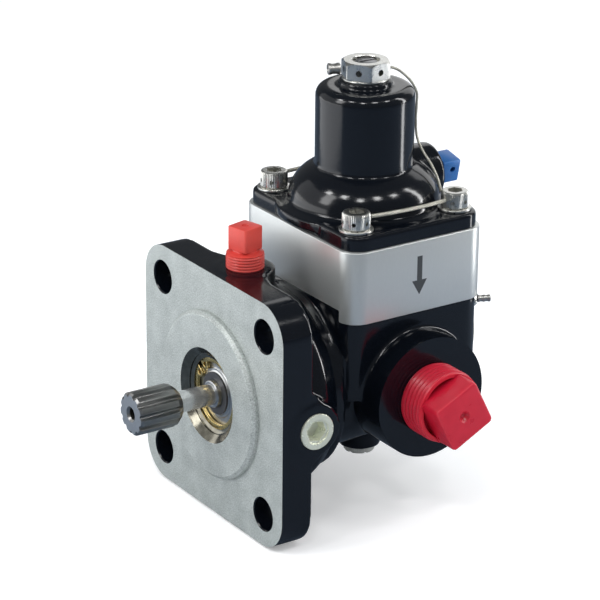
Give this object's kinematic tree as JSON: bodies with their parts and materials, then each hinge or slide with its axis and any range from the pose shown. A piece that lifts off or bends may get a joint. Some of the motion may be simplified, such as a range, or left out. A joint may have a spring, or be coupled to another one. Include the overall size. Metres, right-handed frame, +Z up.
{
  "type": "flange mounted hydraulic pump",
  "caption": "Shaft-driven hydraulic pump with a square mounting flange, splined quill shaft and a spring-loaded relief valve head on top.",
  "frame": {"origin": "centre of the flange's mounting face, on the shaft axis", "axes": "+Y from the mounting face back into the pump, +Z up towards the valve head, +X towards the inlet port"},
  "size_m": [0.1242, 0.1373, 0.1599],
  "materials": {
    "flange_casting": "machined light grey mounting face, black enamel behind it",
    "black_enamel": "gloss",
    "satin_block": "satin, brushed",
    "rubber_seal": "matte",
    "screw_steel": "satin, turned",
    "bearing_bronze": "satin",
    "gear_steel": "ground",
    "spline_steel": "dark phosphated",
    "seal_metal": "polished",
    "seal_carbon": "satin",
    "gold_plate": "yellow passivated",
    "red_plastic": "moulded",
    "blue_plastic": "moulded",
    "plug_steel": "zinc plated",
    "valve_steel": "satin",
    "spring_steel": "drawn",
    "cable_steel": "stranded",
    "ferrule_metal": "crimped"
  },
  "bodies": {
    "housing": {"mounting_flange": "flange_casting", "pump_body": "black_enamel", "body_seal": "rubber_seal", "rear_cover": "black_enamel", "rear_cover_seal": "rubber_seal", "through_bolts": "screw_steel", "bolt_washers": "screw_steel", "dowel_pins": "screw_steel", "front_bearing_block": "bearing_bronze", "rear_bearing_block": "bearing_bronze", "bearing_bushes": "bearing_bronze", "seal_case": "seal_metal", "seal_face": "seal_carbon", "seal_spring": "seal_metal", "retaining_ring": "gold_plate", "side_plug": "plug_steel", "side_plug_seal": "rubber_seal", "lock_screw": "screw_steel", "block_gasket": "rubber_seal", "valve_block": "satin_block", "valve_seat": "bearing_bronze", "valve_guide": "bearing_bronze", "hex_cap": "screw_steel", "cap_washer": "screw_steel", "valve_cover": "black_enamel", "cover_screws": "screw_steel", "cover_washers": "screw_steel", "front_cable": "cable_steel", "rear_cable": "cable_steel", "cap_cable": "cable_steel", "bolt_cable": "cable_steel", "cable_ferrules": "ferrule_metal"},
    "drive_shaft": {"drive_gear": "gear_steel", "quill_shaft": "spline_steel", "quill_stop_ring": "gear_steel", "seal_collar": "seal_metal"},
    "driven_shaft": {"driven_gear": "gear_steel"},
    "relief": {"relief_valve": "valve_steel", "lower_plate": "valve_steel", "upper_plate": "valve_steel", "stem_nut": "valve_steel", "diaphragm": "rubber_seal", "relief_spring": "spring_steel"},
    "adjuster": {"adjusting_screw": "valve_steel"},
    "seat": {"spring_seat": "valve_steel"},
    "inlet_closure": {"inlet_plug": "red_plastic"},
    "outlet_closure": {"outlet_plug": "red_plastic"},
    "drain_closure": {"drain_plug": "red_plastic"},
    "vent_closure": {"vent_plug": "blue_plastic"}
  },
  "joints": [
    {"name": "shaft_spin", "type": "hinge", "parent": "housing", "child": "drive_shaft", "pos_m": [0, 0, 0], "axis": [0, 1, 0], "continuous": true},
    {"name": "driven_spin", "type": "hinge", "parent": "housing", "child": "driven_shaft", "pos_m": [0, 0, 0.015], "axis": [0, 1, 0], "continuous": true},
    {"name": "relief_lift", "type": "slide", "parent": "housing", "child": "relief", "axis": [0, 0, 1], "range_m": [0, 0.003], "stiffness_N_per_m": 9000, "springref_m": -0.004, "deforming": ["relief_spring", "diaphragm"]},
    {"name": "adjust_turn", "type": "hinge", "parent": "housing", "child": "adjuster", "pos_m": [0, 0.0642, 0.11], "axis": [0, 0, 1], "range_deg": [0, 1440]},
    {"name": "seat_travel", "type": "slide", "parent": "housing", "child": "seat", "axis": [0, 0, -1], "range_m": [0, 0.005]},
    {"name": "inlet_plug_out", "type": "slide", "parent": "housing", "child": "inlet_closure", "axis": [1, 0, 0], "range_m": [0, 0.02]},
    {"name": "outlet_plug_out", "type": "slide", "parent": "housing", "child": "outlet_closure", "axis": [-1, 0, 0], "range_m": [0, 0.018]},
    {"name": "drain_plug_out", "type": "slide", "parent": "housing", "child": "drain_closure", "axis": [0, 0, 1], "range_m": [0, 0.014]},
    {"name": "vent_plug_out", "type": "slide", "parent": "housing", "child": "vent_closure", "axis": [0, 1, 0], "range_m": [0, 0.012]}
  ],
  "couplings": [
    {"joint": "driven_spin", "follows": "shaft_spin", "ratio": -1},
    {"joint": "adjust_turn", "follows": "seat_travel", "rad_per_m": 5026.5}
  ]
}
